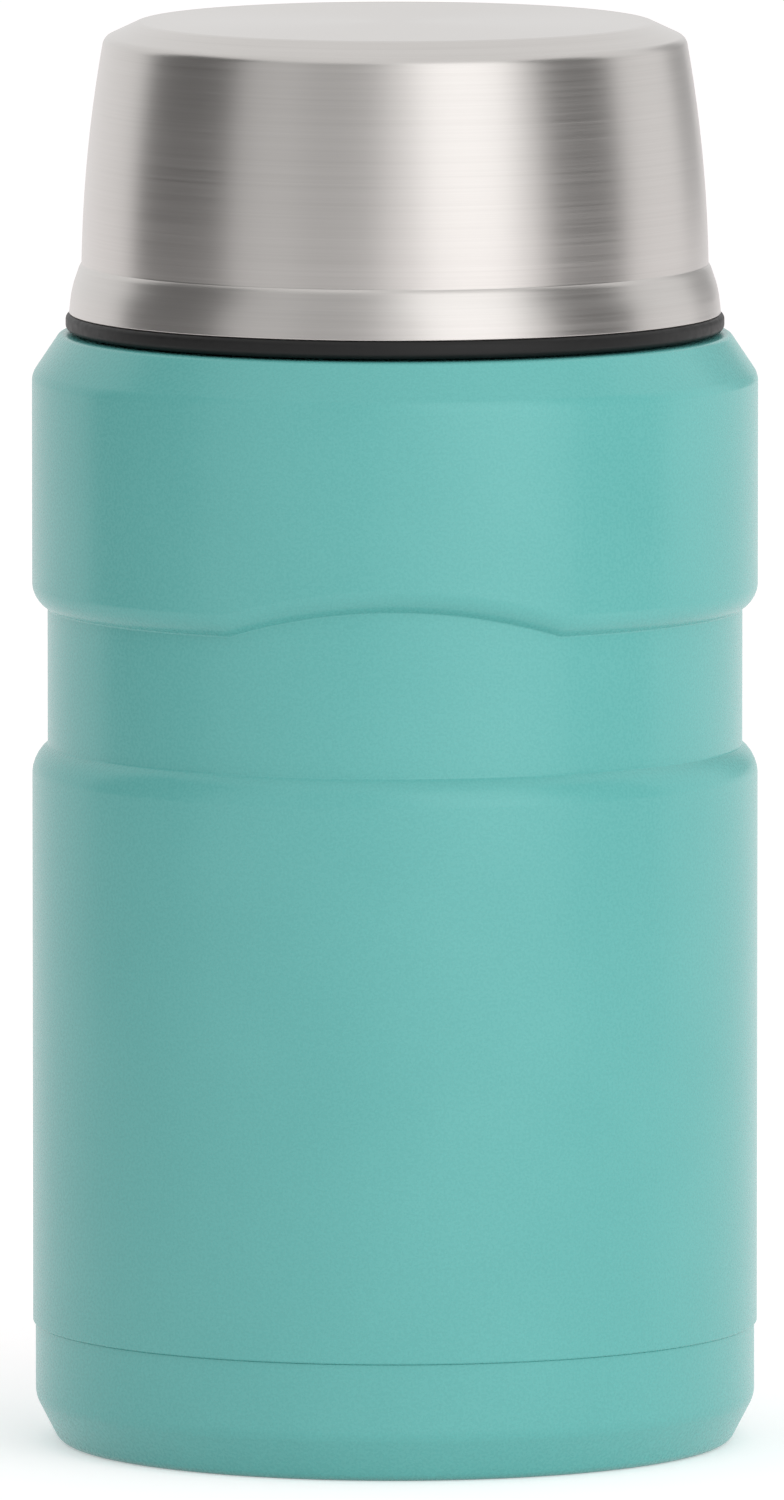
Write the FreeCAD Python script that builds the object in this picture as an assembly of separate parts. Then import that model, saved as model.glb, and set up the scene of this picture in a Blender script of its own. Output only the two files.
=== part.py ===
import FreeCAD, Part
import math
import os

# Insulated food jar, in mm, standing on z = 0 with +Z up and its front towards -Y.
# A double-walled steel vessel is closed by a screw stopper, and over it by a lid that serves as a bowl.
# Both screw joints turn on threads of the same lead, with the room for them left in the fits below.

# Body
BODY_DIAMETER = 96.8
OUTER_WALL = 0.6
SHOULDER_RISE = 5.5
SHOULDER_SETBACK = 3.7
LEDGE_CHAMFER = 0.4
UPPER_BARREL = 27.9
LOWER_BARREL = 73.8

# Waist round the middle, where a hand grips the jar, with an arch in its upper edge at the front
WAIST_HEIGHT = 18.3
WAIST_DEPTH = 2.05
UPPER_EDGE_RADIUS = 4.7
LOWER_EDGE_RADIUS = 6.0
EDGE_BREAK = 0.05
ARCH_WIDTH = 45.6
ARCH_RADIUS = 72.0
ARCH_STATIONS = 13

# Base cup, pushed over the barrel's narrowed skirt
BASE_HEIGHT = 16.0
BASE_SETBACK = 0.35
BASE_WALL = 0.65
SEAM_CHAMFER = 0.25
FOOT_RISE = 6.2
FOOT_SETBACK = 3.2
FOOT_WIDTH = 7.6
FOOT_RECESS = 1.2

# Neck and inner vessel
NECK_DIAMETER = 76.4
NECK_HEIGHT = 14.4
LIP_WIDTH = 2.9
VACUUM_SPACE = 3.15
VESSEL_WALL = 0.6
VESSEL_SHOULDER = 8.0
VESSEL_FLOOR = 11.0
VESSEL_CORNER = 6.0
SEAT_INSET = 1.9
SEAT_DEPTH = 16.1
SEAT_HEIGHT = 1.8
LIP_CHAMFER = 1.0
LIP_JOINT = 3.0

# What lies in the vacuum
BOTTOM_RIM = 4.0
SEAL_DIAMETER = 8.0
SEAL_THICKNESS = 0.9
SEAL_HOLE = 2.4
FOIL_THICKNESS = 0.2
FOIL_MARGIN = 3.0
GETTER_DIAMETER = 12.0
GETTER_THICKNESS = 1.5
GETTER_OFFSET = 14.0

# Stopper
FLANGE_INSET = 0.9
FLANGE_HEIGHT = 6.7
FLANGE_CHAMFER = 1.0
FLUTES = 18
FLUTE_RADIUS = 3.0
FLUTE_DEPTH = 0.6
THREAD_ROOM = 1.3
PLUG_WALL = 4.5
PLUG_FLOOR = 2.2
POCKET_DEPTH = 11.5
POCKET_WALL = 2.5
GRIP_WIDTH = 11.0
GRIP_ROUNDING = 2.0
POCKET_FLOOR = 2.0
GASKET_HEIGHT = 2.7
GASKET_WALL = 3.4
GASKET_LIP = 0.9
FOOT_LIP = 1.2

# Bowl lid
LID_THREAD_ROOM = 1.4
RING_PROUD = 0.45
RING_HEIGHT = 2.4
RING_CHAMFER = 0.5
RING_UPSTAND = 2.6
COLLAR_HEIGHT = 6.5
COLLAR_FLARE = 1.45
COLLAR_SWELL = 0.28
STEP = 0.2
SIDE_HEIGHT = 30.2
SIDE_TAPER = 3.0
SIDE_SWELL = 0.62
CHAMFER_HEIGHT = 2.2
CHAMFER_WIDTH = 4.7
LID_WALL = 0.5
LINER_WALL = 1.6
LINER_GAP = 0.1
LINER_CORNER = 5.0
INSULATION_THICKNESS = 2.3

# Fits
WELD_GAP = 0.05
RUNNING_GAP = 0.3

# Radii and heights that follow from the sizes above
body_r = BODY_DIAMETER / 2
waist_r = body_r - WAIST_DEPTH
base_r = body_r - BASE_SETBACK
skirt_r = base_r - BASE_WALL - WELD_GAP
neck_r = NECK_DIAMETER / 2
mouth_r = neck_r - LIP_WIDTH
vessel_r = waist_r - OUTER_WALL - VACUUM_SPACE - VESSEL_WALL
flange_r = neck_r - FLANGE_INSET
plug_r = mouth_r - THREAD_ROOM
plug_bore_r = plug_r - PLUG_WALL
liner_foot_r = neck_r + LID_THREAD_ROOM + LINER_WALL
side_foot_r = liner_foot_r + LINER_GAP + LID_WALL
side_top_r = side_foot_r - SIDE_TAPER
collar_r = side_foot_r + STEP + COLLAR_FLARE
ring_r = collar_r + RING_PROUD


def edge_drop(radius, depth):
    """Height from an edge arc's centre down to where the arc lies at this depth from the barrel."""
    return math.sqrt(radius ** 2 - (radius - EDGE_BREAK - depth) ** 2)


def edge_height(radius):
    """Height of the whole rounded edge, from the barrel to the waist's floor."""
    return edge_drop(radius, WAIST_DEPTH) - edge_drop(radius, 0)


seam_z = BASE_HEIGHT
skirt_z = FOOT_RISE + RUNNING_GAP
waist_foot_z = seam_z + LOWER_BARREL + edge_height(LOWER_EDGE_RADIUS)
waist_top_z = waist_foot_z + WAIST_HEIGHT
barrel_top_z = waist_top_z + edge_height(UPPER_EDGE_RADIUS) + UPPER_BARREL
ledge_z = barrel_top_z + SHOULDER_RISE
lip_z = ledge_z + NECK_HEIGHT
seat_z = lip_z - SEAT_DEPTH
vessel_top_z = seat_z - SEAT_HEIGHT
shoulder_z = vessel_top_z - VESSEL_SHOULDER
corner_z = VESSEL_FLOOR + VESSEL_CORNER
flange_z = lip_z + RUNNING_GAP
cap_top_z = flange_z + FLANGE_HEIGHT
plug_z = seat_z + RUNNING_GAP - FOOT_LIP
pocket_z = cap_top_z - POCKET_DEPTH
spigot_z = pocket_z - POCKET_FLOOR
ring_z = ledge_z + RUNNING_GAP
collar_z = ring_z + RING_HEIGHT
step_z = collar_z + COLLAR_HEIGHT
side_top_z = step_z + SIDE_HEIGHT
lid_top_z = side_top_z + CHAMFER_HEIGHT

# Outlines: points are (r, z), or (r, z, VIA) for the middle point of an arc
VIA = True


def outline(points):
    """Closed wire of lines and arcs through the points, in the plane that is turned about Z."""
    loop = points + points[:1]
    edges = []
    pen = 0
    while pen < len(points):
        step = 2 if len(loop[pen + 1]) == 3 else 1
        spots = [FreeCAD.Vector(r, 0, z) for r, z, *_ in loop[pen:pen + step + 1]]
        pen += step
        if (spots[-1] - spots[0]).Length > 1e-6:
            curve = Part.Arc(*spots) if step == 2 else Part.LineSegment(*spots)
            edges.append(curve.toShape())
    return Part.Wire(edges)


def turned(points):
    """Solid of revolution from a closed outline."""
    face = Part.Face(outline(points))
    return face.revolve(FreeCAD.Vector(0, 0, 0), FreeCAD.Vector(0, 0, 1), 360)


def disc(radius, low_z, high_z, x=0.0, y=0.0):
    """Round bar along Z between two heights."""
    return Part.makeCylinder(radius, high_z - low_z, FreeCAD.Vector(x, y, low_z))


def ring(inner_r, outer_r, low_z, high_z):
    """Plain tube along Z."""
    return disc(outer_r, low_z, high_z).cut(disc(inner_r, low_z, high_z))


def bulge(start, end, swell):
    """Middle point of a swelling side, pushed outwards from its chord."""
    return ((start[0] + end[0]) / 2 + swell, (start[1] + end[1]) / 2)


def edge_points(radius, corner_z, side, inset):
    """Rounded edge of the waist: where it meets the barrel, its middle, and its corner with the floor.

    side is +1 for the upper edge and -1 for the lower one; inset is the depth below the outer skin.
    """
    centre_r = body_r - radius + EDGE_BREAK
    centre_z = corner_z + side * edge_drop(radius, WAIST_DEPTH)
    own_radius = radius - inset

    def on_arc(r):
        return centre_z - side * math.sqrt(own_radius ** 2 - (r - centre_r) ** 2)

    barrel = body_r - inset
    floor = waist_r - inset
    middle = (barrel + floor) / 2
    ends = [(barrel, on_arc(barrel)), (floor, on_arc(floor))]
    if inset:
        return ends
    return [ends[0], (middle, on_arc(middle), VIA), ends[1]]


def arch_rise(angle):
    """Height that the arch adds to the waist's upper edge at an angle from the front."""
    x = body_r * math.sin(angle)
    return math.sqrt(ARCH_RADIUS ** 2 - x ** 2) - math.sqrt(ARCH_RADIUS ** 2 - ARCH_WIDTH ** 2 / 4)


def arch_cut(inset):
    """What the arch takes from the barrel above the waist, lofted straight from section to section."""
    half_angle = math.asin(ARCH_WIDTH / 2 / body_r)
    low_z = waist_top_z - WAIST_HEIGHT / 4
    inner = waist_r - inset - 1
    outer = body_r + 1
    sections = []
    for n in range(ARCH_STATIONS):
        angle = half_angle * (2 * n / (ARCH_STATIONS - 1) - 1)
        edge = edge_points(UPPER_EDGE_RADIUS, waist_top_z + arch_rise(angle), 1, inset)
        points = [(inner, low_z), (outer, low_z), (outer, edge[0][1])]
        points += edge
        points.append((inner, edge[-1][1]))
        wire = outline(points)
        wire.rotate(FreeCAD.Vector(0, 0, 0), FreeCAD.Vector(0, 0, 1), math.degrees(angle) - 90)
        sections.append(wire)
    loft = Part.makeLoft(sections, True, True)
    return loft.cut(disc(waist_r - inset, low_z - 1, barrel_top_z))


def body_solid(inset):
    """Body from the skirt to the ledge, filled, with every outer face moved inwards by the inset."""
    lower_edge = edge_points(LOWER_EDGE_RADIUS, waist_foot_z, -1, inset)
    upper_edge = edge_points(UPPER_EDGE_RADIUS, waist_top_z, 1, inset)
    cone_shift = inset * math.tan(math.atan2(SHOULDER_SETBACK, SHOULDER_RISE) / 2)
    barrel = body_r - inset
    ledge = body_r - SHOULDER_SETBACK - inset
    seam = 0 if inset else SEAM_CHAMFER
    chamfer = 0 if inset else LEDGE_CHAMFER
    points = [(0, skirt_z - inset), (skirt_r - inset, skirt_z - inset), (skirt_r - inset, seam_z + inset)]
    points += [(barrel - seam, seam_z + inset), (barrel, seam_z + inset + seam)]
    points += lower_edge + upper_edge[::-1]
    points += [
        (barrel, barrel_top_z - cone_shift),
        (ledge + chamfer, ledge_z - inset - chamfer),
        (ledge - chamfer, ledge_z - inset),
        (0, ledge_z - inset),
    ]
    return turned(points).cut(arch_cut(inset))


def outer_shell():
    """Painted steel shell: ledge, cone shoulder, barrels, the sunk waist with its arch, and the skirt."""
    shell = body_solid(0).cut(body_solid(OUTER_WALL))
    return shell.cut(disc(neck_r - VESSEL_WALL, ledge_z - 1, ledge_z + 1))


def base_cup():
    """Painted steel cup over the skirt, up to the seam, with a slanted foot and a recessed middle."""
    foot_r = base_r - FOOT_SETBACK
    recess_r = foot_r - FOOT_WIDTH
    wall = BASE_WALL
    return turned([
        (0, FOOT_RECESS),
        (recess_r - FOOT_RECESS, FOOT_RECESS),
        (recess_r, 0),
        (foot_r, 0),
        (base_r, FOOT_RISE),
        (base_r, seam_z),
        (base_r - wall, seam_z),
        (base_r - wall, FOOT_RISE),
        (foot_r - wall, wall),
        (recess_r + wall / 2, wall),
        (recess_r - FOOT_RECESS + wall / 2, FOOT_RECESS + wall),
        (0, FOOT_RECESS + wall),
    ])


def outer_bottom():
    """Bottom of the vacuum vessel: a dish welded into the skirt, with a dimple for the seal."""
    wall = OUTER_WALL
    rim_r = skirt_r - wall - WELD_GAP
    seal_r = SEAL_DIAMETER / 2 + 1
    rise = SEAL_THICKNESS + 0.2
    dish = turned([
        (0, skirt_z + rise),
        (seal_r, skirt_z + rise),
        (seal_r + rise, skirt_z),
        (rim_r, skirt_z),
        (rim_r, skirt_z + BOTTOM_RIM),
        (rim_r - wall, skirt_z + BOTTOM_RIM),
        (rim_r - wall, skirt_z + wall),
        (seal_r + rise + wall / 2, skirt_z + wall),
        (seal_r + wall / 2, skirt_z + rise + wall),
        (0, skirt_z + rise + wall),
    ])
    return dish.cut(disc(SEAL_HOLE / 2, skirt_z, skirt_z + rise + 2 * wall))


def evacuation_seal():
    """Glass solder pellet that closes the evacuation hole from below."""
    top_z = skirt_z + SEAL_THICKNESS + 0.2
    return disc(SEAL_DIAMETER / 2, top_z - SEAL_THICKNESS, top_z)


def neck_sleeve():
    """Bare steel neck on the ledge, turned over at the lip to meet the inner vessel."""
    wall = VESSEL_WALL
    joint_z = lip_z - LIP_JOINT
    return turned([
        (neck_r, ledge_z),
        (neck_r, lip_z - LIP_CHAMFER),
        (neck_r - LIP_CHAMFER, lip_z),
        (mouth_r + LIP_CHAMFER, lip_z),
        (mouth_r, lip_z - LIP_CHAMFER),
        (mouth_r, joint_z),
        (mouth_r + wall, joint_z),
        (mouth_r + wall, lip_z - LIP_CHAMFER),
        (neck_r - wall, lip_z - LIP_CHAMFER),
        (neck_r - wall, ledge_z),
    ])


def vessel_shoulder():
    """Mouth and shoulder of the inner vessel, with the seat bead for the stopper's gasket."""
    wall = VESSEL_WALL
    joint_z = lip_z - LIP_JOINT
    seat_r = mouth_r - SEAT_INSET
    return turned([
        (mouth_r, joint_z),
        (mouth_r, seat_z),
        (seat_r, seat_z - wall),
        (seat_r, vessel_top_z),
        (vessel_r, shoulder_z),
        (vessel_r + wall, shoulder_z),
        (seat_r + wall, vessel_top_z + wall / 2),
        (seat_r + wall, seat_z - 2 * wall),
        (mouth_r + wall, seat_z - wall),
        (mouth_r + wall, joint_z),
    ])


def inner_vessel():
    """Straight side of the inner vessel, welded to its shoulder and its bottom."""
    return ring(vessel_r, vessel_r + VESSEL_WALL, corner_z, shoulder_z)


def inner_bottom():
    """Dished bottom of the inner vessel, with a slanted corner that a spoon can follow."""
    wall = VESSEL_WALL
    floor_r = vessel_r - VESSEL_CORNER
    return turned([
        (0, VESSEL_FLOOR - wall),
        (floor_r + wall / 2, VESSEL_FLOOR - wall),
        (vessel_r + wall, corner_z - wall / 2),
        (vessel_r + wall, corner_z),
        (vessel_r, corner_z),
        (floor_r, VESSEL_FLOOR),
        (0, VESSEL_FLOOR),
    ])


def foil_shield():
    """Reflecting foil wrapped round the inner vessel's side."""
    low = corner_z + FOIL_MARGIN
    high = shoulder_z - FOIL_MARGIN
    inner_r = vessel_r + VESSEL_WALL + WELD_GAP
    return ring(inner_r, inner_r + FOIL_THICKNESS, low, high)


def getter_capsule():
    """Getter capsule fixed under the inner bottom, where it keeps the vacuum."""
    top_z = VESSEL_FLOOR - VESSEL_WALL
    return disc(GETTER_DIAMETER / 2, top_z - GETTER_THICKNESS, top_z, x=GETTER_OFFSET)


def grip_pocket():
    """One finger recess of the stopper: a round pocket cut off straight at the grip bar."""
    pocket_r = plug_bore_r - POCKET_WALL
    round_pocket = disc(pocket_r, pocket_z, cap_top_z + 1)
    side = Part.makeBox(
        2 * pocket_r, pocket_r, POCKET_DEPTH + 2,
        FreeCAD.Vector(-pocket_r, GRIP_WIDTH / 2, pocket_z - 0.5),
    )
    pocket = round_pocket.common(side)
    uprights = [e for e in pocket.Edges if abs(e.tangentAt(e.FirstParameter).z) > 0.99]
    return pocket.makeFillet(GRIP_ROUNDING, uprights)


def stopper_cap():
    """Black moulded cap: fluted flange on the lip, spigot in the plug, and a grip bar between two pockets."""
    cap = turned([
        (0, spigot_z),
        (plug_bore_r - WELD_GAP, spigot_z),
        (plug_bore_r - WELD_GAP, flange_z),
        (flange_r, flange_z),
        (flange_r, cap_top_z - FLANGE_CHAMFER),
        (flange_r - FLANGE_CHAMFER, cap_top_z),
        (0, cap_top_z),
    ])
    reach = flange_r + FLUTE_RADIUS - FLUTE_DEPTH
    for n in range(FLUTES):
        angle = 2 * math.pi * n / FLUTES
        x = reach * math.cos(angle)
        y = reach * math.sin(angle)
        cap = cap.cut(disc(FLUTE_RADIUS, flange_z - 1, cap_top_z + 1, x, y))
    pocket = grip_pocket()
    cap = cap.cut(pocket)
    return cap.cut(pocket.rotated(FreeCAD.Vector(0, 0, 0), FreeCAD.Vector(0, 0, 1), 180))


def stopper_plug():
    """Hollow black plug: side for the thread, groove for the gasket, and the lip that holds it."""
    groove_r = plug_r + THREAD_ROOM / 2 - GASKET_WALL
    lip_r = mouth_r - SEAT_INSET - 2 * RUNNING_GAP
    groove_low = plug_z + FOOT_LIP
    groove_high = groove_low + GASKET_HEIGHT
    return turned([
        (0, plug_z),
        (lip_r, plug_z),
        (lip_r, groove_low),
        (groove_r, groove_low),
        (groove_r, groove_high),
        (plug_r, groove_high),
        (plug_r, flange_z),
        (plug_bore_r, flange_z),
        (plug_bore_r, plug_z + PLUG_FLOOR),
        (0, plug_z + PLUG_FLOOR),
    ])


def stopper_gasket():
    """Silicone gasket in the plug's groove, with its lip over the seat bead."""
    groove_r = plug_r + THREAD_ROOM / 2 - GASKET_WALL
    low = plug_z + FOOT_LIP
    high = low + GASKET_HEIGHT - WELD_GAP
    outer_r = mouth_r - RUNNING_GAP
    return turned([
        (groove_r + WELD_GAP, low),
        (outer_r, low),
        (outer_r, low + GASKET_LIP),
        (plug_r, high),
        (groove_r + WELD_GAP, high),
    ])


def stopper_foam():
    """Foam disc shut inside the stopper, between the plug's floor and the cap's spigot."""
    low = plug_z + PLUG_FLOOR + RUNNING_GAP
    return disc(plug_bore_r - RUNNING_GAP, low, spigot_z - RUNNING_GAP)


def lid_side(inset):
    """Foot, swelling middle and top of the lid's tapering side, moved inwards by the inset."""
    foot = (side_foot_r - inset, step_z)
    top = (side_top_r - inset, side_top_z - inset / 2)
    middle = bulge(foot, top, SIDE_SWELL)
    return [foot, middle if inset else (*middle, VIA), top]


def lid_solid(inset):
    """Steel lid, filled, with every outer face moved inwards by the inset."""
    collar_foot = (collar_r - inset, collar_z)
    collar_top = (side_foot_r + STEP - inset, step_z - STEP)
    points = [(0, collar_z), collar_foot, bulge(collar_foot, collar_top, COLLAR_SWELL), collar_top]
    points += lid_side(inset)
    points += [(side_top_r - CHAMFER_WIDTH - inset / 2, lid_top_z - inset), (0, lid_top_z - inset)]
    return turned(points)


def bowl_shell():
    """Brushed steel lid: flared collar, step, swelling tapered side and chamfered flat top."""
    inside = lid_solid(LID_WALL)
    return lid_solid(0).cut(inside)


def bowl_liner():
    """Black liner that makes the lid a bowl, with room below for the thread."""
    side = lid_side(LID_WALL + LINER_GAP)
    inner_side = lid_side(LID_WALL + LINER_GAP + LINER_WALL)
    ceiling_z = lid_top_z - LID_WALL - 2 * RUNNING_GAP - INSULATION_THICKNESS
    liner_corner_z = ceiling_z - LINER_CORNER / 2
    return turned([
        (liner_foot_r, collar_z),
        side[0],
        side[1],
        (side[2][0], liner_corner_z),
        (side[2][0] - LINER_CORNER / 2, ceiling_z),
        (0, ceiling_z),
        (0, ceiling_z - LINER_WALL),
        (inner_side[2][0] - LINER_CORNER / 2, ceiling_z - LINER_WALL),
        (inner_side[2][0], liner_corner_z - LINER_WALL / 2),
        inner_side[1],
        inner_side[0],
        (liner_foot_r - LINER_WALL, collar_z),
    ])


def bowl_rim_ring():
    """Black ring between the lid and the shoulder, held by an upstand inside the steel collar."""
    collar_inner_r = collar_r - LID_WALL
    return turned([
        (liner_foot_r - LINER_WALL, ring_z),
        (ring_r - RING_CHAMFER, ring_z),
        (ring_r, ring_z + RING_CHAMFER),
        (ring_r, collar_z - RING_CHAMFER),
        (ring_r - RING_CHAMFER, collar_z),
        (collar_inner_r - 2 * STEP, collar_z),
        (collar_inner_r - 3 * STEP, collar_z + RING_UPSTAND),
        (liner_foot_r + WELD_GAP, collar_z + RING_UPSTAND),
        (liner_foot_r + WELD_GAP, collar_z),
        (liner_foot_r - LINER_WALL, collar_z),
    ])


def bowl_insulation():
    """Insulating disc between the lid's steel top and the liner's ceiling."""
    high = lid_top_z - LID_WALL - RUNNING_GAP
    return disc(side_top_r - CHAMFER_WIDTH - 1, high - INSULATION_THICKNESS, high)


PARTS = [
    outer_shell,
    base_cup,
    outer_bottom,
    evacuation_seal,
    neck_sleeve,
    vessel_shoulder,
    inner_vessel,
    inner_bottom,
    foil_shield,
    getter_capsule,
    stopper_foam,
    stopper_cap,
    stopper_plug,
    stopper_gasket,
    bowl_insulation,
    bowl_shell,
    bowl_liner,
    bowl_rim_ring,
]

os.makedirs("parts", exist_ok=True)
for make in PARTS:
    solid = make()
    box = solid.BoundBox
    facets = len(solid.tessellate(max(0.01, box.DiagonalLength * 0.0002))[1])
    print(
        f"{make.__name__:16s} solids {len(solid.Solids)} valid {solid.isValid()} faces {len(solid.Faces)}"
        f" facets {facets} z {box.ZMin:.2f} to {box.ZMax:.2f} r {box.XMax:.2f}"
    )
    solid.exportStep(f"parts/{make.__name__}.step")
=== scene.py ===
import math

import bmesh
import bpy
from mathutils import Matrix, Vector


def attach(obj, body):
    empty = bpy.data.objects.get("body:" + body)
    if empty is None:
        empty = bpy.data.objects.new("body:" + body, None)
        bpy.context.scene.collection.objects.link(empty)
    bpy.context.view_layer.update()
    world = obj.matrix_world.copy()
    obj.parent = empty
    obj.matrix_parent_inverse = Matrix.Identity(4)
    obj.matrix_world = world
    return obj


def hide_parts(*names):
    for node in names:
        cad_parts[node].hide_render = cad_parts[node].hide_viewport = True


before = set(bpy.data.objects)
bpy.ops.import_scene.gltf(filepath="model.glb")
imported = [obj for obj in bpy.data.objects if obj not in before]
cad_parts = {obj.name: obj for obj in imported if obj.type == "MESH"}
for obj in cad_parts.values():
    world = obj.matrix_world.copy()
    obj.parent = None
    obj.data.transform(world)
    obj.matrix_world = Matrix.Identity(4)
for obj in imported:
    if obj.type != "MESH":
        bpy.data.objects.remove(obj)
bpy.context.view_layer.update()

MM = 0.001
AXIS = (0, 0, 1)
TURN_STEPS = 256
CORNER_STEPS = 5
SAME_POINT = 1e-7
FLAT = 0

# Angles in degrees above which an edge stays sharp in the shading
PLAIN_CREASE = 32
EDGED_CREASE = 40
THREADED_CREASE = 50

# Radii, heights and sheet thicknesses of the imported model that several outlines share
BODY_R = 48.4
WAIST_R = 46.35
SKIRT_R = 47.35
BASE_R = 48.05
NECK_R = 38.2
MOUTH_R = 35.3
SEAT_R = 33.4
VESSEL_R = 42.0
PLUG_R = 34.0
LINER_R = 39.6
SKIRT_Z = 6.5
FLOOR_Z = 11.0
SEAM_Z = 16.0
WAIST_FOOT_Z = 93.59
WAIST_TOP_Z = 111.89
EDGE_TOP_Z = 115.12
VESSEL_TOP_Z = 137.02
BARREL_TOP_Z = 143.02
LEDGE_Z = 148.52
RING_Z = 148.82
COLLAR_Z = 151.22
STEP_Z = 157.72
LIP_Z = 162.92
FLANGE_Z = 163.22
LID_TOP_Z = 190.12
SHEET = 0.6
LID_SHEET = 0.5

# Arch in the waist's upper edge. The skin starts to follow it at the first height, does so fully at
# the second and stops at the third.
ARCH_WIDTH = 45.6
ARCH_RADIUS = 72.0
ARCH_START_Z = WAIST_FOOT_Z + 1
ARCH_FULL_Z = WAIST_TOP_Z - 0.6
ARCH_END_Z = BARREL_TOP_Z - 2

# How far the lid's side swells out of a straight cone
LID_SWELL = 0.62

# Both screw joints: two ridges each, this far up in one whole turn
THREAD_LEAD = 12.0
FLANK_OFFSET = 2.5

# Fixed ridges of the neck and the mouth: where the first one starts, as height and angle in degrees
NECK_START = (151.8, 0)
MOUTH_START = (152.6, 20)

# Section of a ridge: half heights at the sunk root, at the wall and at the crest
RIDGE_HALF_HEIGHTS = (1.75, 1.5, 0.55)
RIDGE_SINK = 0.25
RIDGE_ROUNDING = 0.45
RIDGE_ROUNDING_STEPS = 3
RIDGE_STEP_ANGLE = 2
RIDGE_FADE_ANGLE = 14


# Making a mesh

def clamped(value):
    return max(0.0, min(1.0, value))


def round_corner(bm, vert, rounding, steps):
    bmesh.ops.bevel(
        bm, geom=[vert], offset=rounding * MM, offset_type="OFFSET", segments=steps,
        profile=0.5, affect="VERTICES", material=-1,
    )


def rounded_line(bm, corners):
    """Closed line through the corners in the XZ plane, each corner rounded by its own amount."""
    verts = [bm.verts.new((r * MM, 0, z * MM)) for r, z, _ in corners]
    for start, end in zip(verts, verts[1:]):
        bm.edges.new((start, end))
    bm.edges.new((verts[-1], verts[0]))
    for vert, (_, _, rounding) in zip(verts, corners):
        if rounding:
            round_corner(bm, vert, rounding, CORNER_STEPS)


def turn(bm):
    """Turns what the mesh holds once about Z, and closes its seam and its poles."""
    bmesh.ops.spin(
        bm, geom=bm.verts[:] + bm.edges[:], cent=(0, 0, 0), axis=AXIS, dvec=(0, 0, 0),
        angle=math.tau, steps=TURN_STEPS, use_merge=True, use_duplicate=False,
    )
    bmesh.ops.remove_doubles(bm, verts=bm.verts, dist=SAME_POINT)
    bmesh.ops.dissolve_degenerate(bm, dist=SAME_POINT, edges=bm.edges)
    loose = [edge for edge in bm.edges if not edge.link_faces]
    bmesh.ops.delete(bm, geom=loose, context="EDGES")
    bmesh.ops.recalc_face_normals(bm, faces=bm.faces)


def placed(bm, name):
    """A new object in the scene that takes over the mesh being made."""
    mesh = bpy.data.meshes.new(name)
    bm.to_mesh(mesh)
    bm.free()
    thing = bpy.data.objects.new(name, mesh)
    bpy.context.scene.collection.objects.link(thing)
    return thing


def weigh_normals(piece):
    """Shades flat and turned faces true, so that only the small roundings bend the light."""
    modifier = piece.modifiers.new("weighted", "WEIGHTED_NORMAL")
    modifier.keep_sharp = True
    modifier.weight = 90
    graph = bpy.context.evaluated_depsgraph_get()
    made = bpy.data.meshes.new_from_object(
        piece.evaluated_get(graph), preserve_all_data_layers=True, depsgraph=graph)
    piece.modifiers.clear()
    piece.data = made
    made.name = piece.name


def finished(bm, name, body, nodes, material, crease=PLAIN_CREASE):
    """Makes the mesh a piece that rides on a body and stands for CAD nodes.

    It shades smooth up to the crease angle.
    """
    for face in bm.faces:
        face.smooth = True
    for edge in bm.edges:
        edge.smooth = edge.calc_face_angle(0) < math.radians(crease)
    piece = placed(bm, name)
    piece.data.materials.append(material)
    weigh_normals(piece)
    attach(piece, body)
    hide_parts(*nodes)


def turned_piece(name, corners, body, nodes, material, crease=PLAIN_CREASE):
    """A piece turned from one closed outline."""
    bm = bmesh.new()
    rounded_line(bm, corners)
    turn(bm)
    finished(bm, name, body, nodes, material, crease)


def threaded_piece(name, corners, wall_r, crest_r, start, sweep, body, nodes, material):
    """A piece turned from one closed outline, with a two-start thread on one of its walls."""
    bm = bmesh.new()
    rounded_line(bm, corners)
    turn(bm)
    start_z, start_angle = start
    for half_turn in (0, 180):
        thread_ridge(bm, wall_r, crest_r, start_z, start_angle + half_turn, sweep)
    finished(bm, name, body, nodes, material, THREADED_CREASE)


def thread_ridge(bm, wall_r, crest_r, start_z, start_angle, sweep):
    """One rolled ridge on a wall, rising with the lead and fading into the wall at both ends."""
    root_r = wall_r - math.copysign(RIDGE_SINK, crest_r - wall_r)
    lower = [(r, -half) for r, half in zip((root_r, wall_r, crest_r), RIDGE_HALF_HEIGHTS)]
    section = lower + [(r, -z) for r, z in reversed(lower)]
    ridge = bmesh.new()
    verts = [ridge.verts.new((r * MM, 0, (start_z + z) * MM)) for r, z in section]
    for pair in zip(verts, verts[1:] + verts[:1]):
        ridge.edges.new(pair)
    for vert in (verts[2], verts[3]):
        round_corner(ridge, vert, RIDGE_ROUNDING, RIDGE_ROUNDING_STEPS)
    steps = int(sweep / RIDGE_STEP_ANGLE)
    rise = THREAD_LEAD * MM * sweep / 360 / steps
    bmesh.ops.spin(
        ridge, geom=ridge.verts[:] + ridge.edges[:], cent=(0, 0, 0), axis=AXIS, dvec=(0, 0, rise),
        angle=math.radians(sweep), steps=steps, use_merge=False, use_duplicate=False,
    )
    for vert in ridge.verts:
        angle = math.degrees(math.atan2(vert.co.y, vert.co.x)) % 360
        if angle >= 359:
            angle = 0
        end = clamped(min(angle, sweep - angle) / RIDGE_FADE_ANGLE)
        height = end * end * (3 - 2 * end)
        radius = vert.co.xy.length
        wanted = root_r * MM + (radius - root_r * MM) * height
        vert.co.x *= wanted / radius
        vert.co.y *= wanted / radius
    bmesh.ops.holes_fill(ridge, edges=ridge.edges, sides=0)
    bmesh.ops.remove_doubles(ridge, verts=ridge.verts, dist=SAME_POINT)
    bmesh.ops.recalc_face_normals(ridge, faces=ridge.faces)
    start = Matrix.Rotation(math.radians(start_angle), 4, "Z")
    bmesh.ops.transform(ridge, matrix=start, verts=ridge.verts)
    part = bpy.data.meshes.new("ridge")
    ridge.to_mesh(part)
    ridge.free()
    bm.from_mesh(part)
    bpy.data.meshes.remove(part)


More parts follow.
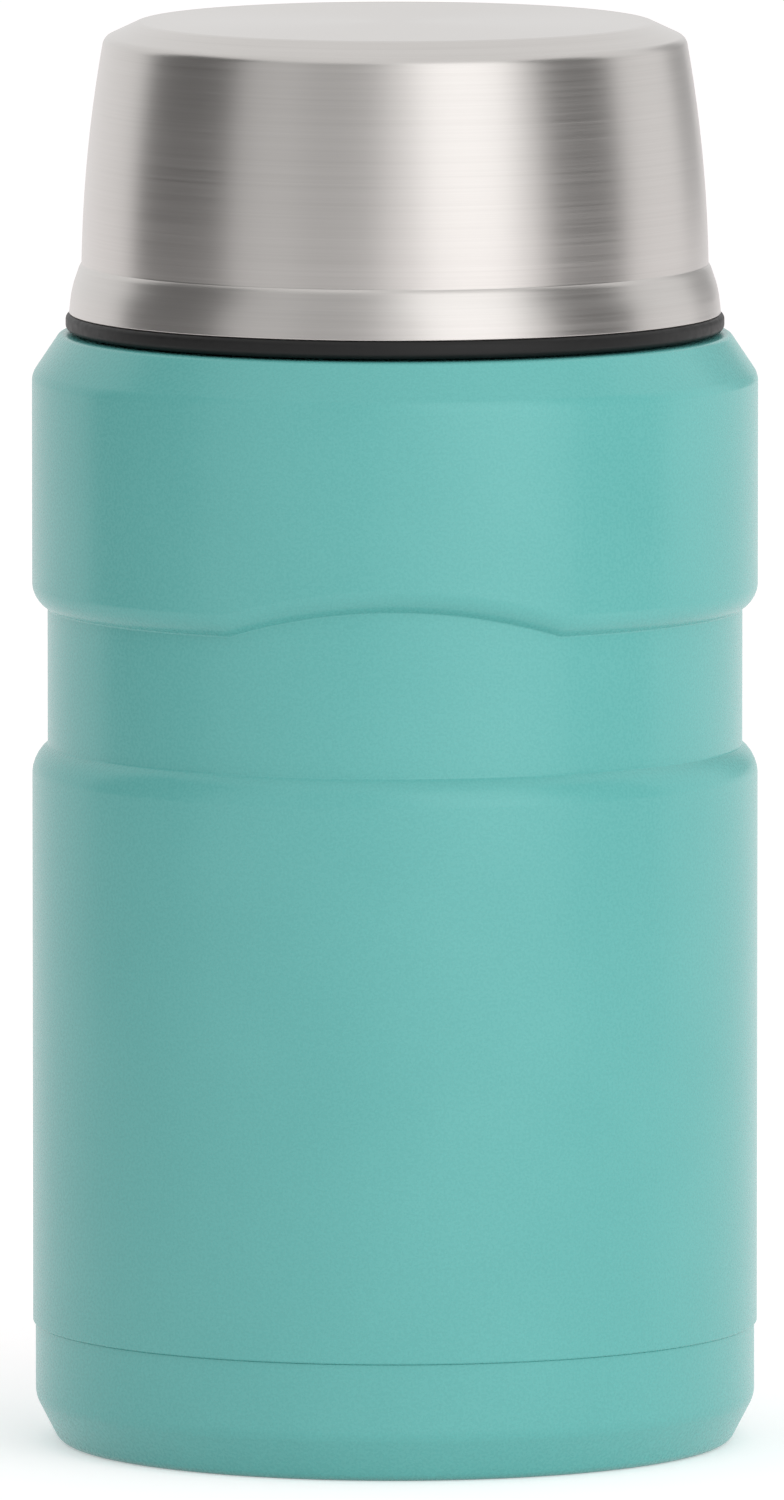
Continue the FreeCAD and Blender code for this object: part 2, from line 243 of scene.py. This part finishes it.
def mate_start(fixed_start, angle):
    """Where a turning piece's ridge starts at an angle, below the fixed ridge that holds it down."""
    fixed_z, fixed_angle = fixed_start
    return fixed_z + THREAD_LEAD * (angle - fixed_angle) / 360 - FLANK_OFFSET, angle


def swelling(start, end, count):
    """Points of the lid's gently swelling side between two ends."""
    points = []
    for n in range(1, count):
        t = n / count
        r = start[0] + (end[0] - start[0]) * t + 4 * LID_SWELL * t * (1 - t)
        points.append((r, start[1] + (end[1] - start[1]) * t, FLAT))
    return points


# Finishes

def math_node(tree, operation, first, second):
    """Output of a Math node, fed with numbers or other nodes' outputs."""
    node = tree.nodes.new("ShaderNodeMath")
    node.operation = operation
    for socket, value in zip(node.inputs, (first, second)):
        if isinstance(value, (int, float)):
            socket.default_value = value
        else:
            tree.links.new(value, socket)
    return node.outputs["Value"]


class Finish:
    """A node material with its shader, and short ways to add nodes that read its coordinates."""

    def __init__(self, name):
        self.material = bpy.data.materials.new(name)
        self.material.use_nodes = True
        self.tree = self.material.node_tree
        self.shader = self.tree.nodes["Principled BSDF"]
        self.place = self.add("ShaderNodeTexCoord").outputs["Object"]

    def add(self, kind, **settings):
        node = self.tree.nodes.new(kind)
        for key, value in settings.items():
            setattr(node, key, value)
        return node

    def join(self, output, socket):
        self.tree.links.new(output, socket)

    def math(self, operation, first, second=0.0):
        return math_node(self.tree, operation, first, second)

    def stretched(self, scale):
        """Object coordinates scaled differently along each axis."""
        mapping = self.add("ShaderNodeMapping")
        mapping.inputs["Scale"].default_value = scale
        self.join(self.place, mapping.inputs["Vector"])
        return mapping.outputs["Vector"]

    def noise(self, place, scale, detail=3.0, roughness=0.5):
        node = self.add("ShaderNodeTexNoise")
        node.inputs["Scale"].default_value = scale
        node.inputs["Detail"].default_value = detail
        node.inputs["Roughness"].default_value = roughness
        self.join(place, node.inputs["Vector"])
        return node.outputs["Fac"]

    def spread(self, value, low, high):
        """A noise value mapped from its usual 0.3 to 0.7 onto a wanted range."""
        node = self.add("ShaderNodeMapRange")
        node.inputs["From Min"].default_value = 0.3
        node.inputs["From Max"].default_value = 0.7
        node.inputs["To Min"].default_value = low
        node.inputs["To Max"].default_value = high
        self.join(value, node.inputs["Value"])
        return node.outputs["Result"]

    def colour(self, value, first, second):
        """Base colour between two shades, by a noise value."""
        node = self.add("ShaderNodeMix", data_type="RGBA")
        node.inputs["A"].default_value = (*first, 1)
        node.inputs["B"].default_value = (*second, 1)
        self.join(self.spread(value, 0.0, 1.0), node.inputs["Factor"])
        self.join(node.outputs["Result"], self.shader.inputs["Base Color"])

    def roughness(self, value, low, high):
        """Roughness between two amounts, by a noise value."""
        self.join(self.spread(value, low, high), self.shader.inputs["Roughness"])

    def bump(self, height, strength, distance):
        node = self.add("ShaderNodeBump")
        node.inputs["Strength"].default_value = strength
        node.inputs["Distance"].default_value = distance * MM
        self.join(height, node.inputs["Height"])
        self.join(node.outputs["Normal"], self.shader.inputs["Normal"])

    def fix(self, name, value):
        """Gives one input of the shader the same value everywhere."""
        self.shader.inputs[name].default_value = value


def powder_coat():
    """Teal powder coat: fine orange peel, a slight cloudiness in the colour and a satin sheen."""
    coat = Finish("teal_powder_coat")
    peel = coat.noise(coat.place, 2100, 2.0, 0.55)
    cloud = coat.noise(coat.place, 45, 2.0)
    mixed = coat.math("ADD", coat.math("MULTIPLY", peel, 0.5), coat.math("MULTIPLY", cloud, 0.5))
    coat.colour(mixed, (0.108, 0.418, 0.395), (0.125, 0.447, 0.422))
    coat.roughness(peel, 0.24, 0.31)
    coat.bump(peel, 0.06, 0.03)
    return coat.material


def brushed_steel():
    """Stainless steel brushed round the axis: fine rings on the side and on the flat top."""
    steel = Finish("brushed_steel_round_grain")
    split = steel.add("ShaderNodeSeparateXYZ")
    steel.join(steel.place, split.inputs["Vector"])
    x, y, z = (split.outputs[axis] for axis in "XYZ")
    squares = steel.math("ADD", steel.math("POWER", x, 2.0), steel.math("POWER", y, 2.0))
    across = steel.math("ADD", steel.math("SQRT", squares), z)
    grain_place = steel.add("ShaderNodeCombineXYZ")
    for axis, value, fineness in (("X", x, 14.0), ("Y", y, 14.0), ("Z", across, 4200.0)):
        steel.join(steel.math("MULTIPLY", value, fineness), grain_place.inputs[axis])
    grain = steel.noise(grain_place.outputs["Vector"], 1.0, 3.0, 0.7)
    steel.colour(grain, (0.565, 0.543, 0.524), (0.615, 0.593, 0.574))
    steel.roughness(grain, 0.30, 0.36)
    steel.bump(grain, 0.05, 0.01)
    steel.fix("Metallic", 1.0)
    steel.fix("Anisotropic", 0.35)
    steel.fix("Anisotropic Rotation", 0.25)
    return steel.material


def satin_steel():
    """Bare satin steel of the neck and the vessel, with faint drawing marks round the axis."""
    steel = Finish("satin_bare_steel")
    marks = steel.noise(steel.stretched((18, 18, 1400)), 1.0, 3.0, 0.65)
    steel.colour(marks, (0.500, 0.490, 0.480), (0.600, 0.590, 0.580))
    steel.roughness(marks, 0.26, 0.40)
    steel.bump(marks, 0.08, 0.02)
    steel.fix("Metallic", 1.0)
    return steel.material


def moulded_plastic(name, shade, roughness, grain):
    """Moulded plastic or rubbery plastic: one dark shade with the mould's fine spark grain."""
    plastic = Finish(name)
    spark = plastic.noise(plastic.place, grain, 2.0, 0.6)
    plastic.colour(spark, shade, tuple(1.35 * c for c in shade))
    plastic.roughness(spark, roughness - 0.06, roughness + 0.06)
    plastic.bump(spark, 0.25, 0.04)
    plastic.fix("Specular IOR Level", 0.3)
    return plastic.material


def silicone():
    """Milky silicone with a soft inner glow."""
    rubber = Finish("milky_silicone")
    haze = rubber.noise(rubber.place, 260, 2.0)
    rubber.colour(haze, (0.60, 0.60, 0.58), (0.70, 0.70, 0.68))
    rubber.roughness(haze, 0.42, 0.55)
    rubber.fix("Subsurface Weight", 0.25)
    rubber.fix("Subsurface Radius", (0.003, 0.003, 0.003))
    return rubber.material


def crinkled_foil():
    """Thin reflecting foil with soft crinkles."""
    sheet = Finish("crinkled_foil")
    crinkle = sheet.noise(sheet.place, 190, 3.0, 0.6)
    sheet.colour(crinkle, (0.70, 0.70, 0.70), (0.86, 0.86, 0.86))
    sheet.roughness(crinkle, 0.12, 0.30)
    sheet.bump(crinkle, 0.5, 0.3)
    sheet.fix("Metallic", 1.0)
    return sheet.material


def solder_glass():
    """Dark glassy solder of the evacuation seal."""
    glass = Finish("solder_glass")
    flow = glass.noise(glass.place, 320, 2.0)
    glass.colour(flow, (0.030, 0.034, 0.040), (0.070, 0.076, 0.085))
    glass.roughness(flow, 0.08, 0.20)
    return glass.material


def cell_foam():
    """Pale closed-cell foam."""
    foam = Finish("cell_foam")
    cells = foam.add("ShaderNodeTexVoronoi")
    cells.inputs["Scale"].default_value = 700
    foam.join(foam.place, cells.inputs["Vector"])
    distance = cells.outputs["Distance"]
    foam.colour(distance, (0.60, 0.58, 0.50), (0.82, 0.80, 0.72))
    foam.roughness(distance, 0.80, 0.95)
    foam.bump(distance, 0.5, 0.3)
    return foam.material


teal = powder_coat()
brushed = brushed_steel()
satin = satin_steel()
black = moulded_plastic("black_moulded_plastic", (0.012, 0.012, 0.013), 0.42, 1400)
rubbery = moulded_plastic("black_rubbery_plastic", (0.008, 0.008, 0.008), 0.50, 900)
milky = silicone()
foil = crinkled_foil()
seal_glass = solder_glass()
pale_foam = cell_foam()


# Body

def arch_rise(x):
    """Height that the arch adds to the waist's upper edge, x mm from the middle of the front."""
    half_width = ARCH_WIDTH / 2
    if abs(x) >= half_width:
        return 0.0
    return math.sqrt(ARCH_RADIUS ** 2 - x ** 2) - math.sqrt(ARCH_RADIUS ** 2 - half_width ** 2)


def arch_share(z):
    """How much of the arch's rise a height follows: all at the edge, less above and below it."""
    if z <= WAIST_TOP_Z:
        return clamped((z - ARCH_START_Z) / (ARCH_FULL_Z - ARCH_START_Z))
    return clamped((ARCH_END_Z - z) / (ARCH_END_Z - EDGE_TOP_Z))


def body_skin():
    """Painted skin: skirt, seam, barrels, sunk waist with its arched edge, cone shoulder, ledge."""
    outside = [
        (SKIRT_R, SKIRT_Z, FLAT),
        (SKIRT_R, SEAM_Z, FLAT),
        (BODY_R, SEAM_Z, 0.3),
        (BODY_R, 92.1, 2.3),
        (WAIST_R, WAIST_FOOT_Z, 0.2),
        (WAIST_R, WAIST_TOP_Z, 0.2),
        (BODY_R, 112.95, 2.1),
        (BODY_R, BARREL_TOP_Z, 0.8),
        (44.7, LEDGE_Z, 0.5),
        (NECK_R - SHEET, LEDGE_Z, FLAT),
    ]
    inside = [
        (NECK_R - SHEET, LEDGE_Z - SHEET, FLAT),
        (44.3, LEDGE_Z - SHEET, FLAT),
        (BODY_R - SHEET, BARREL_TOP_Z - 0.3, FLAT),
        (BODY_R - SHEET, 115.3, FLAT),
        (WAIST_R - SHEET, WAIST_TOP_Z, FLAT),
        (WAIST_R - SHEET, WAIST_FOOT_Z, FLAT),
        (BODY_R - SHEET, 89.6, FLAT),
        (BODY_R - SHEET, SEAM_Z + SHEET, FLAT),
        (SKIRT_R - SHEET, SEAM_Z + SHEET, FLAT),
        (SKIRT_R - SHEET, SKIRT_Z, FLAT),
    ]
    bm = bmesh.new()
    rounded_line(bm, outside + inside)
    turn(bm)
    for vert in bm.verts:
        if vert.co.y < 0:
            x = BODY_R * vert.co.x / vert.co.xy.length
            vert.co.z += arch_rise(x) * arch_share(vert.co.z / MM) * MM
    finished(bm, "body_skin", "jar", ["outer_shell"], teal)


def base_skin():
    """Painted base cup: rounded rim at the seam, slanted foot, rest ring and sunk middle."""
    cup_sheet = 0.65
    corners = [
        (BASE_R, 6.2, 0.9),
        (BASE_R, SEAM_Z, 0.12),
        (BASE_R - cup_sheet, SEAM_Z, FLAT),
        (BASE_R - cup_sheet, 6.3, FLAT),
        (44.2, 0.7, FLAT),
        (37.6, 0.7, FLAT),
        (36.4, 1.9, FLAT),
        (0, 1.9, FLAT),
        (0, 1.2, FLAT),
        (36.05, 1.2, 0.6),
        (37.25, 0, 0.5),
        (44.85, 0, 1.1),
    ]
    turned_piece("base_skin", corners, "jar", ["base_cup"], teal)


def neck_skin():
    """Bare neck with a rolled lip, a fillet on the ledge and the two rolled thread ridges."""
    corners = [
        (NECK_R + 0.7, LEDGE_Z, FLAT),
        (NECK_R, LEDGE_Z + 0.7, 0.5),
        (NECK_R, LIP_Z, 1.4),
        (MOUTH_R, LIP_Z, 1.4),
        (MOUTH_R, LIP_Z - 3.0, FLAT),
        (MOUTH_R + SHEET, LIP_Z - 3.0, FLAT),
        (MOUTH_R + SHEET, LIP_Z - 1.2, FLAT),
        (NECK_R - SHEET, LIP_Z - 1.2, FLAT),
        (NECK_R - SHEET, LEDGE_Z, FLAT),
    ]
    threaded_piece(
        "neck_skin", corners, NECK_R, NECK_R + 1.0, NECK_START, 216,
        "jar", ["neck_sleeve"], satin)


def vessel_skin():
    """Inner vessel in one sweep: mouth with thread, seat bead, shoulder, side, corner and floor."""
    inside = [
        (MOUTH_R, LIP_Z - 3.0, FLAT),
        (MOUTH_R, 146.82, 0.5),
        (SEAT_R, 146.22, 0.4),
        (SEAT_R, 145.02, 0.6),
        (VESSEL_R, VESSEL_TOP_Z, 2.5),
        (VESSEL_R, 12.4, 4.2),
        (36.0, FLOOR_Z, 1.4),
        (0, FLOOR_Z, FLAT),
    ]
    outside = [
        (0, FLOOR_Z - SHEET, FLAT),
        (36.3, FLOOR_Z - SHEET, FLAT),
        (VESSEL_R + SHEET, 16.7, FLAT),
        (VESSEL_R + SHEET, VESSEL_TOP_Z, FLAT),
        (SEAT_R + SHEET, 145.32, FLAT),
        (SEAT_R + SHEET, 145.62, FLAT),
        (MOUTH_R + SHEET, 146.22, FLAT),
        (MOUTH_R + SHEET, LIP_Z - 3.0, FLAT),
    ]
    nodes = ["vessel_shoulder", "inner_vessel", "inner_bottom"]
    threaded_piece(
        "vessel_skin", inside + outside, MOUTH_R, MOUTH_R - 1.0, MOUTH_START, 180,
        "jar", nodes, satin)


# Stopper

def stopper_cap_skin():
    """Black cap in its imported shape, with the facets merged and the sharp edges rounded."""
    bm = bmesh.new()
    bm.from_mesh(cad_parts["stopper_cap"].data)
    bmesh.ops.remove_doubles(bm, verts=bm.verts, dist=1e-6)
    same_plane = math.radians(0.6)
    bmesh.ops.dissolve_limit(bm, angle_limit=same_plane, verts=bm.verts, edges=bm.edges)
    sharp = [edge for edge in bm.edges if edge.calc_face_angle(0) > math.radians(34)]
    bmesh.ops.bevel(
        bm, geom=sharp, offset=0.35 * MM, offset_type="OFFSET", segments=3, profile=0.5,
        affect="EDGES", clamp_overlap=True, material=-1,
    )
    finished(
        bm, "stopper_cap_skin", "stopper", ["stopper_cap"], black, EDGED_CREASE)


def plug_skin():
    """Hollow black plug with its thread, gasket groove and rounded foot."""
    corners = [
        (0, 145.92, FLAT),
        (32.8, 145.92, 0.7),
        (32.8, 147.12, 0.2),
        (31.25, 147.12, FLAT),
        (31.25, 149.82, FLAT),
        (PLUG_R, 149.82, 0.3),
        (PLUG_R, FLANGE_Z, FLAT),
        (29.5, FLANGE_Z, FLAT),
        (29.5, 148.12, FLAT),
        (0, 148.12, FLAT),
    ]
    threaded_piece(
        "plug_skin", corners, PLUG_R, PLUG_R + 1.0, mate_start(MOUTH_START, 68), 170,
        "stopper", ["stopper_plug"], black)


def gasket_skin():
    """Silicone gasket with a soft lip that rests on the seat bead."""
    corners = [
        (31.3, 147.12, 0.2),
        (35.0, 147.12, 0.3),
        (35.0, 148.02, 0.35),
        (34.0, 149.77, 0.4),
        (31.3, 149.77, 0.3),
    ]
    turned_piece("gasket_skin", corners, "stopper", ["stopper_gasket"], milky)


# Bowl lid

def lid_skin():
    """Brushed steel lid: flared collar, fine step, swelling tapered side and chamfered flat top."""
    foot = (41.78, STEP_Z + 0.15)
    top = (38.8, 187.92)
    inner_foot = (41.3, STEP_Z)
    inner_top = (38.3, 187.67)
    outside = [
        (43.45, COLLAR_Z, 0.2),
        (43.08, 154.5, 1.2),
        (42.05, STEP_Z - 0.2, 0.35),
        (*foot, 0.12),
        *swelling(foot, top, 10),
        (*top, 0.75),
        (34.1, LID_TOP_Z, 0.5),
        (0, LID_TOP_Z, FLAT),
    ]
    inside = [
        (0, LID_TOP_Z - LID_SHEET, FLAT),
        (33.85, LID_TOP_Z - LID_SHEET, FLAT),
        (*inner_top, FLAT),
        *swelling(inner_top, inner_foot, 4),
        (*inner_foot, FLAT),
        (43.45 - LID_SHEET, COLLAR_Z, FLAT),
    ]
    turned_piece(
        "lid_skin", outside + inside,
        "bowl", ["bowl_shell"], brushed, EDGED_CREASE)


def liner_skin():
    """Black bowl liner with rounded corners and the thread that screws on the neck."""
    outside = [
        (41.2, COLLAR_Z, FLAT),
        (41.2, STEP_Z, FLAT),
        (40.32, 172.8, FLAT),
        (38.2, 184.2, FLAT),
        (35.7, 186.7, FLAT),
        (0, 186.7, FLAT),
    ]
    inside = [
        (0, 185.12, FLAT),
        (36.6, 185.12, 5.0),
        (38.72, 172.8, 4.0),
        (LINER_R, STEP_Z, 2.0),
        (LINER_R, COLLAR_Z, FLAT),
    ]
    threaded_piece(
        "liner_skin", outside + inside, LINER_R, LINER_R - 1.1, mate_start(NECK_START, 111), 180,
        "bowl", ["bowl_liner"], black)


def rim_ring_skin():
    """Black ring with round shoulders below the steel collar, and the upstand that holds it."""
    upstand_z = COLLAR_Z + 2.6
    corners = [
        (LINER_R, RING_Z, 0.5),
        (43.9, RING_Z, 0.9),
        (43.9, COLLAR_Z, 0.8),
        (42.55, COLLAR_Z, FLAT),
        (42.35, upstand_z, 0.3),
        (41.25, upstand_z, 0.3),
        (41.25, COLLAR_Z, FLAT),
        (LINER_R, COLLAR_Z, FLAT),
    ]
    turned_piece(
        "rim_ring_skin", corners, "bowl", ["bowl_rim_ring"], rubbery)


body_skin()
base_skin()
neck_skin()
vessel_skin()
stopper_cap_skin()
plug_skin()
gasket_skin()
lid_skin()
liner_skin()
rim_ring_skin()


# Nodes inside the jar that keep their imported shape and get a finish

for node_name, node_finish in (
    ("outer_bottom", satin),
    ("evacuation_seal", seal_glass),
    ("foil_shield", foil),
    ("getter_capsule", satin),
    ("stopper_foam", pale_foam),
    ("bowl_insulation", pale_foam),
):
    node_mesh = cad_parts[node_name].data
    node_mesh.materials.clear()
    node_mesh.materials.append(node_finish)


# Studio

def lit_for_sight(tree, strength, matt_level):
    """A matt level for all rays, and a strength more for camera, glossy and transmitted rays."""
    path = tree.nodes.new("ShaderNodeLightPath").outputs
    seen = path["Is Camera Ray"]
    for name in ("Is Glossy Ray", "Is Transmission Ray"):
        seen = math_node(tree, "MAXIMUM", seen, path[name])
    return math_node(tree, "ADD", math_node(tree, "MULTIPLY", seen, strength), matt_level)


def studio_world(matt_level):
    """White surroundings: strength 1 where they are seen or mirrored, softer on matt surfaces."""
    world = bpy.data.worlds.new("studio_world")
    bpy.context.scene.world = world
    world.use_nodes = True
    background = world.node_tree.nodes["Background"]
    background.inputs["Color"].default_value = (1, 1, 1, 1)
    light = lit_for_sight(world.node_tree, 1.0 - matt_level, matt_level)
    world.node_tree.links.new(light, background.inputs["Strength"])


def studio_floor():
    """Plain white floor that keeps the jar's shadow."""
    bm = bmesh.new()
    bmesh.ops.create_circle(bm, cap_ends=True, segments=64, radius=9.0)
    floor = placed(bm, "studio_floor")
    paper = Finish("white_floor")
    fibre = paper.noise(paper.place, 300, 2.0)
    paper.colour(fibre, (0.90, 0.863, 0.865), (0.91, 0.873, 0.875))
    paper.fix("Roughness", 0.9)
    paper.fix("Specular IOR Level", 0.0)
    paper.fix("Emission Color", (1, 1, 1, 1))
    paper.join(lit_for_sight(paper.tree, 0.31, 0.05), paper.shader.inputs["Emission Strength"])
    floor.data.materials.append(paper.material)


def toward(azimuth, distance, height):
    """Place in metres, at an azimuth that turns from the camera's side towards +X."""
    angle = math.radians(azimuth)
    return Vector((distance * math.sin(angle), -distance * math.cos(angle), height))


def card(name, azimuth, width, height, level, foot=0.01, distance=0.72):
    """Upright grey card beside the jar, there only for the steel and the paint to mirror."""
    bm = bmesh.new()
    bmesh.ops.create_grid(bm, x_segments=1, y_segments=1, size=0.5)
    bmesh.ops.scale(bm, vec=(width, height, 1), verts=bm.verts)
    centre = toward(azimuth, distance, foot + height / 2)
    facing = (Vector((0, 0, centre.z)) - centre).to_track_quat("Z", "Y").to_matrix().to_4x4()
    bmesh.ops.transform(bm, matrix=Matrix.Translation(centre) @ facing, verts=bm.verts)
    board = placed(bm, name)
    felt = bpy.data.materials.new(name)
    felt.use_nodes = True
    tree = felt.node_tree
    tree.nodes.clear()
    glow = tree.nodes.new("ShaderNodeEmission")
    glow.inputs["Color"].default_value = (level, level, level, 1)
    out = tree.nodes.new("ShaderNodeOutputMaterial")
    tree.links.new(glow.outputs["Emission"], out.inputs["Surface"])
    board.data.materials.append(felt)
    board.visible_camera = False
    board.visible_diffuse = False
    board.visible_shadow = False


def softbox(name, azimuth, distance, height, width, tall, power, mirrored=True):
    """Large soft lamp turned to the middle of the jar, which the steel may mirror or not."""
    data = bpy.data.lights.new(name, "AREA")
    data.shape = "RECTANGLE"
    data.size = width
    data.size_y = tall
    data.energy = power
    lamp = bpy.data.objects.new(name, data)
    bpy.context.scene.collection.objects.link(lamp)
    jar_middle = Vector((0, 0, 0.1))
    lamp.location = toward(azimuth, distance, height)
    lamp.rotation_euler = (lamp.location - jar_middle).to_track_quat("Z", "Y").to_euler()
    lamp.visible_camera = False
    lamp.visible_glossy = mirrored


studio_world(matt_level=0.76)
studio_floor()
card("dark_card_left", azimuth=-86, width=0.63, height=0.9, level=0.13)
card("pale_card_front", azimuth=-48, width=0.34, height=0.9, level=0.70)
card("grey_card_front", azimuth=-20, width=0.39, height=0.9, level=0.54)
card("dark_card_right", azimuth=74, width=0.46, height=0.9, level=0.17)
card("grey_card_back", azimuth=144, width=0.32, height=0.4, level=0.45, foot=0.12)
softbox("key_softbox", azimuth=27, distance=0.85, height=0.45, width=0.60, tall=0.9, power=1.15)
softbox("side_softbox", azimuth=44, distance=2.0, height=0.45, width=1.4, tall=0.9, power=11.5,
        mirrored=False)


# Camera, long and nearly level as in the photograph

camera_data = bpy.data.cameras.new("camera")
camera_data.lens = 660
camera_data.sensor_width = 36
camera_data.clip_end = 50
camera = bpy.data.objects.new("camera", camera_data)
camera.location = (-0.0004, -3.650, 0.4762)
camera.rotation_euler = (math.radians(84), 0, 0)
bpy.context.scene.collection.objects.link(camera)
bpy.context.scene.camera = camera
bpy.context.scene.view_settings.view_transform = "Standard"
